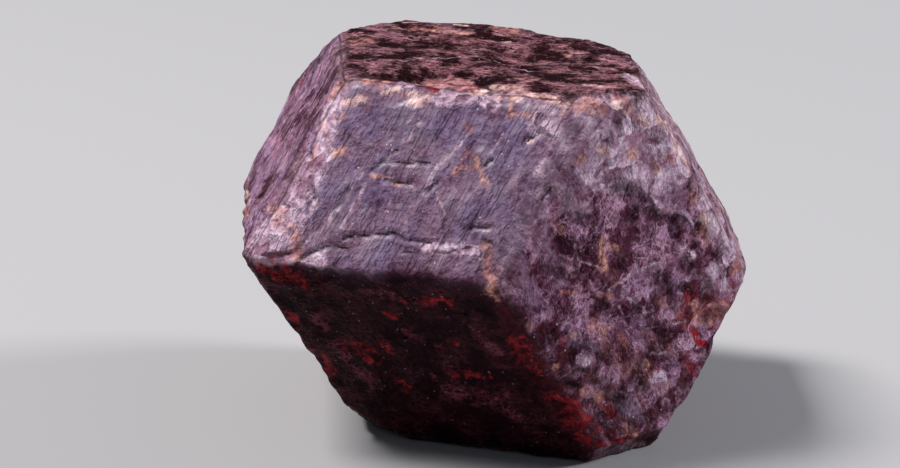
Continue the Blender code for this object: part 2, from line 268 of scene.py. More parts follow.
# Patches, cracks and grains, as strokes in the view's frame: where each starts and ends, across and down, and
# its radius, all in pixels. They are cast from the camera onto the crystal.
strokes = {
    "rust": (  # rust-orange grains and scars
        (331, 98, 345, 81, 4.5), (366, 82, 390, 83, 3), (378, 84, 380, 85, 3.5), (313, 148, 313, 162, 4),
        (335, 152, 343, 150, 4), (336, 118, 344, 115, 3), (276, 223, 292, 226, 4), (297, 228, 298, 256, 4),
        (280, 253, 290, 253, 3.5), (246, 206, 248, 216, 4), (469, 150, 479, 163, 2.5),
        (469, 150, 463, 158, 2), (454, 172, 463, 167, 2.6), (463, 167, 478, 168, 3),
        (478, 168, 488, 186, 2.6), (372, 176, 390, 177, 2.2), (394, 184, 404, 185, 2.2),
        (352, 39, 368, 40, 4), (396, 28, 440, 29, 2.5), (512, 98, 511, 114, 2.5), (509, 114, 532, 116, 2.5),
        (578, 109, 588, 106, 5), (594, 104, 604, 110, 4.5), (563, 113, 568, 116, 4),
        (580, 158, 585, 158, 4), (629, 156, 633, 156, 4), (658, 114, 662, 128, 3.5),
        (669, 154, 673, 158, 4), (694, 200, 698, 205, 4), (706, 230, 712, 238, 5),
        (604, 238, 602, 252, 3.5), (602, 252, 606, 270, 3.5), (608, 246, 621, 249, 3),
        (559, 226, 563, 231, 3.5), (486, 247, 489, 262, 5), (489, 262, 492, 290, 5),
        (490, 290, 496, 300, 3), (594, 326, 606, 332, 5), (605, 293, 609, 297, 3.5),
        (622, 340, 630, 346, 4.5), (616, 365, 626, 372, 5), (588, 396, 602, 400, 4.5),
        (528, 324, 532, 328, 3), (557, 369, 559, 371, 3), (738, 258, 740, 272, 4), (566, 52, 570, 54, 2.5),
        (705, 318, 720, 320, 5), (622, 428, 636, 432, 4), (562, 293, 604, 296, 1.8),
    ),
    "cream": (  # cream grains
        (344, 104, 366, 98, 3.5), (384, 92, 398, 88, 3), (470, 94, 484, 92, 3), (528, 94, 545, 96, 4),
        (552, 100, 562, 104, 4), (584, 108, 596, 112, 3.5), (616, 104, 632, 112, 4),
        (640, 118, 648, 124, 3.5), (672, 140, 680, 152, 3.5), (684, 160, 690, 170, 4),
        (630, 150, 636, 154, 3), (600, 150, 606, 154, 3), (652, 165, 658, 170, 3), (706, 214, 712, 224, 4),
        (664, 120, 676, 136, 3), (402, 94, 424, 98, 4.5), (408, 103, 420, 103, 3), (496, 86, 520, 88, 4),
        (502, 96, 518, 98, 5), (566, 106, 572, 105, 4), (600, 106, 606, 106, 3.5), (585, 86, 598, 88, 3),
        (502, 39, 509, 38, 3), (324, 122, 326, 134, 3.5), (272, 208, 284, 214, 4),
        (244, 193, 247, 204, 3.5), (658, 120, 668, 126, 4), (694, 190, 698, 196, 4),
        (573, 334, 577, 338, 2.5), (340, 82, 346, 90, 3.5), (531, 141, 533, 145, 3), (404, 23, 422, 23, 2),
        (455, 24, 467, 25, 2.5), (375, 176, 384, 177, 1.5), (636, 362, 646, 366, 4.5),
    ),
    "blood": (  # dark red, worn stone
        (690, 304, 732, 304, 9), (688, 316, 722, 322, 8), (566, 420, 590, 436, 7), (462, 86, 476, 92, 4),
        (694, 306, 728, 314, 6), (706, 322, 720, 322, 4), (690, 362, 698, 372, 5), (516, 342, 522, 354, 6),
        (522, 356, 538, 374, 6), (560, 402, 594, 422, 7), (602, 406, 610, 412, 5), (590, 440, 602, 442, 5),
        (348, 346, 366, 350, 7), (358, 352, 372, 362, 5), (390, 316, 392, 318, 4), (424, 302, 434, 302, 4),
        (402, 302, 406, 304, 3), (382, 344, 388, 352, 4), (456, 374, 486, 377, 4), (402, 384, 408, 390, 5),
        (260, 266, 278, 276, 6), (284, 268, 300, 284, 6), (272, 258, 276, 262, 4), (736, 270, 734, 290, 4),
        (318, 352, 330, 374, 4), (566, 341, 568, 341, 3.5), (600, 438, 640, 440, 5),
        (640, 360, 652, 372, 5), (290, 316, 294, 324, 3), (452, 342, 456, 344, 3), (440, 300, 450, 303, 3),
    ),
    "scar": (  # salmon scars
        (696, 306, 726, 312, 6), (700, 320, 716, 324, 5), (586, 100, 600, 104, 4), (616, 96, 630, 104, 4),
        (410, 80, 425, 76, 4), (425, 76, 468, 79, 5), (438, 83, 470, 86, 4.5),
    ),
    "chalk": (  # crumbly chalk on ridges and corners; it roughens the surface too
        (266, 242, 284, 222, 12), (264, 256, 290, 256, 5), (290, 212, 318, 158, 8), (318, 158, 333, 108, 7),
        (402, 84, 410, 90, 4), (440, 97, 466, 98, 5), (482, 98, 494, 104, 4), (596, 122, 655, 130, 14),
        (610, 140, 660, 150, 16), (625, 168, 684, 176, 10), (655, 112, 688, 170, 8),
        (590, 172, 620, 180, 8), (576, 209, 587, 209, 4), (569, 192, 573, 201, 3), (629, 166, 637, 170, 4),
        (627, 131, 629, 135, 3), (650, 126, 656, 132, 4), (684, 253, 691, 256, 4), (718, 268, 724, 285, 5),
        (667, 206, 676, 208, 4), (694, 180, 732, 255, 6), (717, 282, 724, 286, 4), (700, 326, 716, 326, 3),
        (697, 330, 698, 346, 2.5), (424, 247, 450, 250, 3), (458, 249, 478, 253, 3.5),
        (313, 259, 320, 262, 4), (560, 190, 566, 200, 6), (652, 377, 665, 379, 3), (580, 361, 590, 363, 3),
        (545, 120, 560, 135, 9), (632, 75, 650, 105, 5), (548, 160, 540, 172, 3), (650, 100, 735, 232, 5),
    ),
    "thread": (  # pale scratches and threads
        (325, 228, 343, 200, 2.5), (343, 200, 362, 174, 2.5), (342, 227, 367, 184, 2.5),
        (300, 227, 326, 199, 2.5), (423, 192, 434, 174, 3), (434, 174, 446, 156, 3),
        (450, 158, 463, 142, 2.6), (485, 163, 503, 133, 2.4), (407, 142, 420, 120, 2.2),
        (408, 123, 417, 114, 2.2), (437, 192, 446, 215, 2), (530, 178, 544, 162, 2.5),
        (536, 222, 548, 211, 2.2), (312, 210, 318, 198, 2.5), (440, 254, 448, 242, 3),
        (304, 246, 316, 232, 2.2), (384, 212, 390, 200, 1.8), (638, 178, 664, 204, 2.5),
        (664, 204, 690, 214, 2.5), (690, 214, 702, 232, 2.5), (604, 292, 630, 277, 2.2),
        (630, 277, 660, 262, 2.2), (566, 326, 584, 315, 2.2), (570, 298, 604, 292, 2),
        (628, 298, 648, 312, 2), (648, 296, 640, 330, 2), (620, 306, 628, 328, 2), (652, 356, 668, 354, 2),
        (668, 354, 680, 366, 2), (620, 390, 636, 400, 2.2), (560, 255, 600, 268, 1.8),
        (575, 245, 590, 300, 1.8), (640, 235, 672, 245, 1.8), (648, 330, 690, 322, 1.8),
        (600, 340, 650, 352, 1.8), (440, 60, 470, 54, 1.8), (470, 54, 500, 60, 1.8),
        (520, 70, 580, 74, 1.8), (400, 62, 440, 58, 1.8), (540, 60, 600, 66, 1.8),
    ),
    "tan": (  # brownish stains
        (466, 122, 470, 130, 6), (602, 346, 655, 378, 13), (590, 382, 640, 402, 10),
        (645, 335, 676, 356, 9), (650, 385, 680, 392, 8), (598, 262, 616, 290, 8), (660, 300, 690, 320, 7),
        (540, 130, 565, 122, 6), (600, 110, 655, 112, 7), (680, 150, 700, 196, 6),
    ),
    "crackle": (  # where fine veins run close together
        (338, 345, 374, 386, 9), (424, 374, 470, 402, 10), (298, 296, 326, 330, 8), (396, 332, 444, 348, 6),
        (300, 340, 330, 372, 6), (470, 330, 500, 352, 6), (360, 290, 420, 300, 7), (590, 300, 650, 330, 12),
        (560, 350, 600, 372, 8), (630, 380, 665, 410, 9), (480, 395, 520, 420, 8),
    ),
    "wine": (  # dark wine stone under worn film
        (622, 398, 668, 340, 11), (566, 352, 604, 392, 8), (588, 418, 640, 424, 7),
        (512, 312, 530, 350, 14), (530, 350, 560, 398, 18), (600, 430, 650, 425, 12),
        (556, 395, 590, 425, 16), (655, 415, 690, 385, 7), (560, 398, 600, 440, 18),
        (600, 442, 660, 438, 10), (585, 415, 640, 428, 12), (640, 425, 672, 410, 8),
        (690, 290, 704, 300, 8), (545, 330, 570, 372, 10),
    ),
    # Slate: blue-grey film like the upper left face's, partly worn film and partly a painted sheen
    "slate": (  # smooth blue-grey film
        (556, 112, 585, 160, 14), (545, 150, 580, 210, 16), (530, 210, 560, 280, 14),
        (520, 262, 535, 300, 10), (590, 110, 610, 140, 6),
    ),
    "dusk": (  # grey-violet film
        (574, 340, 600, 354, 9), (480, 165, 500, 200, 11), (400, 115, 424, 136, 13),
        (350, 190, 336, 225, 9), (448, 205, 464, 226, 12), (618, 398, 640, 414, 8), (300, 240, 470, 247, 5),
        (614, 290, 626, 294, 5), (480, 240, 500, 248, 6), (405, 122, 395, 150, 8),
    ),
    "window": (  # glossy dark stone seen through gaps
        (618, 184, 652, 200, 8), (640, 200, 664, 212, 7), (572, 216, 600, 224, 7), (676, 218, 706, 226, 5),
        (684, 262, 706, 284, 8), (654, 268, 668, 286, 9), (544, 270, 574, 276, 6), (618, 250, 626, 266, 5),
        (650, 318, 664, 334, 8), (684, 288, 698, 302, 6), (524, 334, 546, 342, 6), (590, 250, 596, 262, 4),
        (398, 44, 420, 48, 6), (478, 65, 494, 66, 3), (532, 43, 548, 46, 4), (550, 53, 562, 60, 4),
        (584, 45, 606, 52, 5), (506, 60, 538, 76, 4), (560, 240, 580, 250, 5), (530, 86, 540, 92, 4),
        (630, 300, 640, 312, 5), (600, 300, 612, 312, 5), (560, 380, 580, 390, 6), (640, 384, 650, 392, 4),
    ),
    "cleft": (  # cracks, which are cut into the surface too
        (302, 257, 318, 250, 3), (318, 250, 337, 242, 3), (337, 242, 354, 236, 3),
        (354, 236, 392, 233, 2.6), (392, 233, 402, 238, 2.4), (371, 169, 381, 162, 3),
        (381, 162, 427, 162, 2.4), (384, 179, 412, 182, 2.6), (384, 159, 397, 150, 2.6),
        (470, 229, 492, 226, 2.6), (484, 241, 492, 242, 2.6), (338, 207, 350, 190, 2.2),
        (425, 193, 438, 182, 2.6), (409, 239, 430, 242, 2), (312, 186, 315, 200, 2),
        (486, 166, 494, 158, 2.4), (537, 202, 552, 188, 2), (330, 246, 346, 250, 2),
        (400, 250, 420, 254, 2), (527, 140, 540, 132, 2), (308, 150, 311, 158, 2.5),
        (283, 206, 288, 207, 2.5), (282, 255, 290, 254, 2.5),
    ),
    "glass": (  # clear red chips
        (428, 89, 436, 91, 3.5), (700, 334, 708, 346, 5),
    ),
}

# More strokes, scattered over the sides that those above leave bare
scatter = {
    "seed": 11,
    "done": Vector((-0.58, -0.75, 0.30)),  # points to the side that has its strokes
    "overlap": 0.05,  # how far over to that side they may come
    "reach": 14.0,  # mm from the centre
    "radii": (0.6, 1.4),  # shares of a kind's radius
    "kinds": {  # how many, radius in mm, length as an angle's sine
        "rust": (26, 0.28, 0.10), "cream": (12, 0.28, 0.08), "blood": (18, 0.45, 0.16),
        "chalk": (10, 0.6, 0.25), "wine": (8, 1.0, 0.3), "dusk": (8, 0.9, 0.2), "window": (18, 0.5, 0.15),
        "thread": (16, 0.14, 0.25), "cleft": (8, 0.17, 0.15), "tan": (10, 0.8, 0.2), "crackle": (10, 0.8, 0.2),
    },
}

view = {
    "frame": (900, 468),  # pixels
    "azimuth": -39.16,
    "elevation": 17.0,
    "roll": 1.4,
    "distance": 0.270,
    "lens": 157.04,  # mm
    "sensor": 36.0,  # mm
    "aside": 0.002545,  # how far right of the frame's middle the crystal's centre shows, in metres
    "above": 0.000344,  # and how far above it
    "nearest": 0.01,
}


def turned(indices):
    return (Matrix.Rotation(radians(crystal["tilt"]), 3, "X") @ Vector(indices)).normalized()


# Each face's normal, and its distance from the centre as a share of the perfect crystal's
def facePlanes():
    return {name: (turned(face["indices"]), face["share"]) for name, face in faces.items()}


# The same for bevels and worn corners
def cutPlanes(planes):
    sharesEdge, meetsCorner = cos(radians(60)), 0.65  # how alike normals are
    cuts = []
    for a, b in combinations(planes, 2):
        (normalA, shareA), (normalB, shareB) = planes[a], planes[b]
        if abs(normalA.dot(normalB) - sharesEdge) < 0.01:
            width = bevels.get((a, b)) or bevels.get((b, a)) or bevels["plain"]
            edge = (shareA + shareB) / sqrt(3)
            cuts.append(((normalA + normalB) / sqrt(3), edge - width / (2 * sqrt(3)) / perfectFace))
    tips = [tuple(2 * sign * (axis == k) for k in range(3)) for axis in range(3) for sign in (1, -1)]
    for tip in tips + list(product((1, -1), repeat=3)):
        normal = turned(tip)
        meeting = [share / n.dot(normal) for n, share in planes.values() if n.dot(normal) > meetsCorner]
        worn = corners.get(tip, corners["plain"]) / perfectFace
        cuts.append((normal, sum(meeting) / len(meeting) - worn))
    return cuts


# A perfect rhombic dodecahedron: a cube with a low pyramid raised on each side, cut into a grid
def makeScaffold():
    form = bmesh.new()
    bmesh.ops.create_cube(form, size=2)
    cubeEdges = form.edges[:]
    bmesh.ops.poke(form, faces=form.faces[:], offset=1.0)
    bmesh.ops.dissolve_edges(form, edges=cubeEdges)
    bmesh.ops.subdivide_edges(form, edges=form.edges[:], cuts=crystal["grid"] - 1, use_grid_fill=True)
    bmesh.ops.rotate(form, verts=form.verts, matrix=Matrix.Rotation(radians(crystal["tilt"]), 3, "X"))
    bmesh.ops.triangulate(form, faces=form.faces[:], quad_method="SHORT_EDGE")
    bmesh.ops.recalc_face_normals(form, faces=form.faces[:])
    mesh = bpy.data.meshes.new("garnet")
    form.to_mesh(mesh)
    form.free()
    return bpy.data.objects.new("garnet", mesh)


# The camera's place and its axes: to the right, up and back
def cameraPose(middle):
    azimuth, elevation, roll = (radians(view[name]) for name in ("azimuth", "elevation", "roll"))
    back = Vector((sin(azimuth) * cos(elevation), -cos(azimuth) * cos(elevation), sin(elevation)))
    right = Vector((0, 0, 1)).cross(back).normalized()
    up = back.cross(right)
    place = middle + back * view["distance"]
    target = middle - right * view["aside"] - up * view["above"]
    out = (place - target).normalized()
    side = Vector((0, 0, 1)).cross(out).normalized()
    over = out.cross(side)
    return place, side * cos(roll) + over * sin(roll), over * cos(roll) - side * sin(roll), out


# Each stroke of the view as its two ends, in mm from the crystal's centre, and its radius in mm. An end is
# where the line of sight through its pixel meets the flat faces and cuts.
def castStrokes():
    place, right, up, back = cameraPose(Vector((0, 0, 0)))
    eye = place / mm
    width, height = view["frame"]
    focal = view["lens"] / view["sensor"] * width  # in pixels
    fineness = focal / view["distance"] * mm  # pixels per mm at the crystal's centre
    planes = facePlanes()
    flats = [(normal, share * perfectFace - crystal["shrunk"])
             for normal, share in (*planes.values(), *cutPlanes(planes))]

    def seenAt(across, down):
        ray = right * (across - width / 2) + up * (height / 2 - down) - back * focal
        facing = [(normal, reach) for normal, reach in flats if normal.dot(ray) < 0]
        return eye + ray * max((reach - normal.dot(eye)) / normal.dot(ray) for normal, reach in facing)

    return {kind: [(seenAt(*row[:2]), seenAt(*row[2:4]), row[4] / fineness) for row in rows]
            for kind, rows in strokes.items()}


def scatterStrokes():
    chance = random.Random(scatter["seed"])
    spread = {kind: [] for kind in scatter["kinds"]}
    for kind, (count, radius, length) in scatter["kinds"].items():
        while len(spread[kind]) < count:
            start = Vector([chance.gauss(0, 1) for _ in range(3)]).normalized()
            end = (start + Vector([chance.uniform(-length, length) for _ in range(3)])).normalized()
            if max(start.dot(scatter["done"]), end.dot(scatter["done"])) < scatter["overlap"]:
                wide = radius * chance.uniform(*scatter["radii"])
                spread[kind].append((start * scatter["reach"], end * scatter["reach"], wide))
    return spread


# How looks and strokes are laid on the form's points. Scales are for points one unit from the centre.
painting = {
    "looks": ("cover", "blotches", "streaks", "veins", "sheen", "cool"),
    "colours": ("deep", "film"),
    "parting": 60,  # how sharply one face's looks end and the next one's start
    "borders": ((5.0, 0.03), (16.0, 0.015)),  # scale and size of the waves in those borders
    "strokes": (16.0, 0.008),  # and in the edges of strokes
    "outside": -6.0,  # the depth that stands for far outside every stroke
}


def waves(towards, scale, size):
    return np.array([noise.noise_vector(point * scale) for point in towards]) * size


# How far inside the nearest stroke each point is: 1 on its line, 0 at its edge, below 0 outside
def strokeDepth(points, rows):
    depth = np.full(len(points), painting["outside"])
    for start, end, radius in rows:
        first, last = np.array(start.normalized()), np.array(end.normalized())
        run = last - first
        along = np.clip((points - first) @ run / max(run @ run, 1e-9), 0, 1)  # a stroke may be a dot
        apart = np.linalg.norm(points - first - along[:, None] * run, axis=1) * start.length
        depth = np.maximum(depth, 1 - apart / radius)
    return depth


# Stores each point's looks, blended between the faces near it, and its depth in each kind of stroke
def paintScaffold(scaffold):
    towards = [vertex.co.normalized() for vertex in scaffold.data.vertices]
    points = np.array(towards)
    for scale, size in painting["borders"]:
        points = points + waves(towards, scale, size)
    planes = facePlanes()
    normals = np.array([normal for normal, _ in planes.values()])
    shares = np.array([share for _, share in planes.values()])
    closeness = np.clip(points @ normals.T / shares, 0, None) ** painting["parting"]
    closeness /= closeness.sum(axis=1, keepdims=True)
    attributes = scaffold.data.attributes
    # The dark stone and scant film this lays on the top and the faces turned down are partly painted shade
    for look in painting["looks"]:
        values = closeness @ np.array([face[look] for face in faces.values()])
        attributes.new(look, "FLOAT", "POINT").data.foreach_set("value", values)
    for look in painting["colours"]:
        values = closeness @ np.array([(*face[look], 1.0) for face in faces.values()])
        attributes.new(look, "FLOAT_COLOR", "POINT").data.foreach_set("color", values.ravel())
    points = np.array(towards) + waves(towards, *painting["strokes"])
    scattered = scatterStrokes()
    for kind, rows in castStrokes().items():
        values = strokeDepth(points, (*rows, *scattered.get(kind, ())))
        attributes.new(kind, "FLOAT", "POINT").data.foreach_set("value", values)


# The relief over the flat faces. Depths and lengths are in mm. A noise has its scale per mm, detail and
# roughness.
relief = {
    "swell": 0.256, "swellNoise": (0.13,),
    "lines": 1.3,  # times each face's own depth
    "lineStretch": (0.62, 0.07, 1.0),  # across the growth, along it, from face to face
    "lineNoise": (1.0, 1.0), "fineLineNoise": (2.6, 2.0, 0.6), "fineLines": 0.6,
    "lineRim": 0.9,  # lines fade out this near a face's edge
    "faceSeed": 3.7, "ledgeSeed": 7.3, "fadeSeed": 9.1,  # keep the patterns of faces and ledges apart
    "ledges": ((1.3, 2.2, 0.32), (4.4, 5.8, 0.24), (2.6, 3.4, 0.07)),  # inset, how far it wanders, drop
    "ledgeNoise": (0.17,), "jagNoise": (3.0, 0.6), "jagScale": 1.1, "jags": 0.5,
    "ledgeSlope": 0.3, "ledgeInset": 0.45,  # the least inset
    "fadeNoise": (0.21, 1.0), "fade": (0.38, 0.60),
    "edgeRoughness": 0.21, "edgeNoise": (0.55,), "fineEdgeNoise": (1.5, 3.0, 0.6), "fineEdges": 0.8,
    "cutStarts": (-0.1, 0.25),  # how proud of a cut the faces are where the cut's looks start and are full
    "hollowNoise": (0.5, 2.0), "hollowWarp": 0.55,
    "pitScale": 0.5, "pitWidth": 0.10, "pitSpread": 0.16, "pitChance": 0.45, "pitDepth": 0.10,
    "crumbNoise": (0.9, 2.0), "crumbWarp": 0.3, "crumbs": (-0.1, 0.5), "cutCrumbs": 0.6,
    "grainNoise": (1.7, 3.0, 0.65), "plainGrain": 0.35, "crumbGrain": 2.2, "grainDepth": 0.075,
    "cleftNoise": (1.3, 1.0), "cleftWarp": 0.4, "clefts": (-0.2, 0.7), "cleftDepth": 0.25,
    "bareBase": 0.84,  # pits and grain stay above this share of the perfect face's distance below the centre
}


# A new tree with its named inputs
def openTree():
    tree = bpy.data.node_groups.new("grow crystal", "GeometryNodeTree")
    tree.is_modifier = True
    tree.interface.new_socket(name="Geometry", in_out="INPUT", socket_type="NodeSocketGeometry")
    sizes = {
        "Perfect Face": perfectFace, "Sharpness": crystal["sharpness"], "Edge Width": crystal["edgeWidth"],
        "Shrunk": crystal["shrunk"], "Resting Lift": crystal["restingLift"],
        "Flat Within": crystal["flatWithin"], "Swell": relief["swell"], "Line Depth": relief["lines"],
        "Ledge Slope": relief["ledgeSlope"], "Edge Roughness": relief["edgeRoughness"],
        "Cleft Depth": relief["cleftDepth"], "Pit Depth": relief["pitDepth"],
        "Grain Depth": relief["grainDepth"],
    }
    for name, value in sizes.items():
        socket = tree.interface.new_socket(name=name, in_out="INPUT", socket_type="NodeSocketFloat")
        socket.default_value = value
    for name in ("Centre", "Lowest", "Highest"):
        tree.interface.new_socket(name=name, in_out="INPUT", socket_type="NodeSocketVector")
    tree.interface.new_socket(name="Material", in_out="INPUT", socket_type="NodeSocketMaterial")
    tree.interface.new_socket(name="Geometry", in_out="OUTPUT", socket_type="NodeSocketGeometry")
    entry = Wire(tree).node("NodeGroupInput").socket.node
    return tree, {socket.name: Wire(tree, socket) for socket in entry.outputs if socket.name}


# How far out a form of flat planes reaches, with its edges rounded by the sharpness
def roundedReach(g, given, towards, planes):
    powers = []
    for normal, share in planes:
        facing = g.vector("DOT_PRODUCT", towards, tuple(normal)) / share
        powers.append(facing.top(0.0) ** given["Sharpness"])
    return sum(powers) ** (-1 / crystal["sharpness"]) * given["Perfect Face"]


# The face that each point is on: its normal, how far in from its edge the point is, the place along and
# across its growth lines, and what sets its relief apart
def nearestFace(g, given, ideal, planes):
    blank = g.vector("ADD", (0, 0, 0), (0, 0, 0))
    far = g.math("ADD", 99.0, 0.0)
    nearest, second = far, far
    normal, along, traits = blank, blank, blank
    for k, (name, (n, share)) in enumerate(planes.items()):
        follows = planes[faces[name]["follows"]][0]
        slack = share * given["Perfect Face"] - g.vector("DOT_PRODUCT", ideal, tuple(n))
        wins = g.math("LESS_THAN", slack, nearest)
        second = second.low(nearest.top(slack))
        nearest = nearest.low(slack)
        normal = normal.blend(tuple(n), wins)
        along = along.blend(tuple(n.cross(follows).normalized()), wins)
        traits = traits.blend((relief["faceSeed"] * k, faces[name]["lines"], faces[name]["ledges"]), wins)
    rim = second / sin(radians(60))
    seed = g.node("ShaderNodeSeparateXYZ", {}, {"Vector": traits})
    across = g.vector("DOT_PRODUCT", ideal, g.vector("CROSS_PRODUCT", normal, along))
    lengthways = g.vector("DOT_PRODUCT", ideal, along)
    growth = g.node("ShaderNodeCombineXYZ", {}, {"X": across, "Y": lengthways, "Z": seed})
    lines, ledges = seed.twin("Y"), seed.twin("Z")
    return SimpleNamespace(normal=normal, rim=rim, growth=growth, seed=seed, lines=lines, ledges=ledges)


# Swell, growth lines and ledges, in mm over the ideal faces
def faceRelief(g, given, ideal, face):
    lined = face.growth.times(relief["lineStretch"])
    fine = relief["fineLines"] * g.swing(lined, *relief["fineLineNoise"])
    lines = g.swing(lined, *relief["lineNoise"]) + fine
    height = given["Swell"] * g.swing(ideal, *relief["swellNoise"])
    height = height + lines * face.lines * given["Line Depth"] * face.rim.step(0.0, relief["lineRim"])
    shifted = g.vector("ADD", ideal, g.node("ShaderNodeCombineXYZ", {}, {"X": face.seed, "Y": face.seed}))
    for k, (inset, wander, drop) in enumerate(relief["ledges"]):
        own = g.vector("ADD", shifted, (0.0, 0.0, relief["ledgeSeed"] * k))
        jagged = g.swing(shifted, relief["jagScale"] + k, *relief["jagNoise"])
        run = g.swing(own, *relief["ledgeNoise"]) * wander + jagged * relief["jags"]
        edge = (inset + run).top(relief["ledgeInset"])
        inside = ((edge - face.rim) / given["Ledge Slope"] + 0.5).step(0.0, 1.0)
        own = g.vector("ADD", shifted, (0.0, relief["fadeSeed"] * k, 0.0))
        fade = g.noise(own, *relief["fadeNoise"]).step(*relief["fade"])
        height = height - inside * fade * face.ledges * drop
    worn = (height + given["Resting Lift"]).low(0.0)
    downward = g.math("LESS_THAN", g.vector("DOT_PRODUCT", face.normal, (0, 0, 1)), -0.9)
    return height - given["Shrunk"] + (worn - height + given["Shrunk"]) * downward


# What is broken out of the surface, in mm: hollows, then clefts, then pits and grain
def breakage(g, given, ideal, cut):
    uneven = 1.0 + relief["hollowWarp"] * g.swing(ideal, *relief["hollowNoise"])
    sunk = 0.0
    for middle, radius, depth in hollows:
        reach = g.vector("DISTANCE", ideal, middle) / (uneven * radius)
        sunk = sunk + (1.0 - reach * reach).top(0.0) * depth

    def painted(kind, warp, warpNoise, limits):
        attribute = g.node("GeometryNodeInputNamedAttribute", {"data_type": "FLOAT"}, {"Name": kind})
        return (attribute + warp * g.swing(ideal, *warpNoise)).step(*limits)

    grooves = painted("cleft", relief["cleftWarp"], relief["cleftNoise"], relief["clefts"])
    crumbly = painted("chalk", relief["crumbWarp"], relief["crumbNoise"], relief["crumbs"])
    crumbly = crumbly.top(cut * relief["cutCrumbs"])
    cell = g.cells(ideal, relief["pitScale"])
    chance = g.node("ShaderNodeSeparateXYZ", {}, {"Vector": cell.twin("Color")})
    reach = cell / (relief["pitWidth"] + relief["pitSpread"] * chance)
    pitted = g.math("GREATER_THAN", chance, relief["pitChance"]) * given["Pit Depth"]
    pits = (1.0 - reach * reach).top(0.0) * pitted
    grain = g.swing(ideal, *relief["grainNoise"]) * (relief["plainGrain"] + relief["crumbGrain"] * crumbly)
    height = g.vector("DOT_PRODUCT", ideal, (0, 0, 1))
    above = g.math("GREATER_THAN", height, -perfectFace * relief["bareBase"])
    return sunk, grooves * given["Cleft Depth"], (pits - grain * given["Grain Depth"]) * above


# Moves each scaffold point out to the worn crystal's surface and stores what the material needs
def growthTree():
    tree, given = openTree()
    g = Wire(tree)
    towards = g.vector("NORMALIZE", g.node("GeometryNodeInputPosition"))
    planes = facePlanes()
    faceReach = roundedReach(g, given, towards, planes.values())
    cutReach = roundedReach(g, given, towards, cutPlanes(planes))
    ideal = towards.scaled(faceReach.low(cutReach))
    face = nearestFace(g, given, ideal, planes)

    fine = relief["fineEdges"] * g.swing(ideal, *relief["fineEdgeNoise"])
    rough = g.swing(ideal, *relief["edgeNoise"]) + fine
    faceReach = faceReach + faceRelief(g, given, ideal, face)
    cutReach = cutReach + given["Edge Roughness"] * rough - given["Shrunk"]
    surface = g.math("SMOOTH_MIN", faceReach, cutReach, given["Edge Width"])
    cut = (faceReach - cutReach).step(*relief["cutStarts"])
    for depth in breakage(g, given, ideal, cut):
        surface = surface - depth

    place = g.vector("ADD", towards.scaled(surface), given["Centre"])
    height = g.vector("DOT_PRODUCT", place, (0, 0, 1))
    low = g.math("LESS_THAN", height, given["Flat Within"])
    drop = g.node("ShaderNodeCombineXYZ", {}, {"Z": height * low})
    metres = g.vector("SUBTRACT", place, drop).times((mm, mm, mm))
    metres = g.vector("MINIMUM", g.vector("MAXIMUM", metres, given["Lowest"]), given["Highest"])

    shape = given["Geometry"]
    stored = {"growth": ("FLOAT_VECTOR", face.growth), "rim": ("FLOAT", face.rim), "cut": ("FLOAT", cut)}
    for name, (kind, value) in stored.items():
        settings = {"data_type": kind, "domain": "POINT"}
        sockets = {"Geometry": shape, "Name": name, "Value": value}
        shape = g.node("GeometryNodeStoreNamedAttribute", settings, sockets)
    shape = g.node("GeometryNodeSetPosition", {}, {"Geometry": shape, "Position": metres})
    shape = g.node("GeometryNodeSetShadeSmooth", {}, {0: shape})
    shape = g.node("GeometryNodeRealizeInstances", {}, {"Geometry": shape})
    shape = g.node("GeometryNodeSetMaterial", {}, {"Geometry": shape, "Material": given["Material"]})
    g.node("NodeGroupOutput", {}, {"Geometry": shape}, None)
    return tree


def growCrystal(material):
    scaffold = makeScaffold()
    bpy.context.scene.collection.objects.link(scaffold)
    paintScaffold(scaffold)
    print("scaffold painted:", len(scaffold.data.vertices), "points")
    tree = growthTree()
    modifier = scaffold.modifiers.new("grow", "NODES")
    modifier.node_group = tree
    centre = (*crystal["centre"], centreHeight)
    values = {"Centre": centre, "Lowest": tuple(cadLow), "Highest": tuple(cadHigh), "Material": material}
    for socket in tree.interface.items_tree:
        if socket.in_out == "INPUT" and socket.name in values:
            modifier[socket.identifier] = values[socket.name]
    graph = bpy.context.evaluated_depsgraph_get()
    evaluated = scaffold.evaluated_get(graph)
    grown = bpy.data.meshes.new_from_object(evaluated, preserve_all_data_layers=True, depsgraph=graph)
    scaffold.modifiers.remove(modifier)
    scaffold.data = grown
    print("crystal grown:", len(grown.polygons), "faces")
    return scaffold


